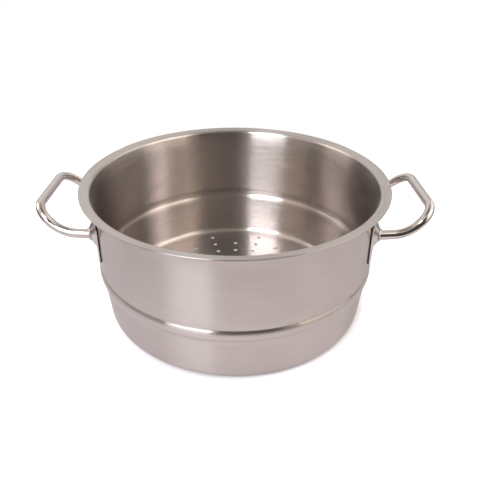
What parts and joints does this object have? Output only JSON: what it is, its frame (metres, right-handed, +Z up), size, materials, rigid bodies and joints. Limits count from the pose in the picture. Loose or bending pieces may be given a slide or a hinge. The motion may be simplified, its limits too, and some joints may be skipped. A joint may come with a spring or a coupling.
{
  "type": "steamer pot",
  "caption": "Round stainless steel steamer insert: perforated base, turned-out lip, bead that rests on a pot's rim, and bent rod handles welded to pressed ears.",
  "frame": {"origin": "on the table, under the middle of the flat base", "axes": "+Z up along the pot's axis, +X from one handle to the other, -Y towards the front"},
  "size_m": [0.378, 0.3, 0.139],
  "materials": {
    "satin_steel": "satin, brushed round the pot inside and out",
    "polished_steel": "polished rod",
    "pressed_steel": "smooth pressed sheet, lightly polished",
    "weld_steel": "cleaned weld bead"
  },
  "bodies": {
    "root": {"pot_shell": "satin_steel", "left_handle": "polished_steel", "right_handle": "polished_steel", "left_front_ear": "pressed_steel", "left_rear_ear": "pressed_steel", "right_front_ear": "pressed_steel", "right_rear_ear": "pressed_steel", "left_front_weld": "weld_steel", "left_rear_weld": "weld_steel", "right_front_weld": "weld_steel", "right_rear_weld": "weld_steel"}
  },
  "joints": []
}
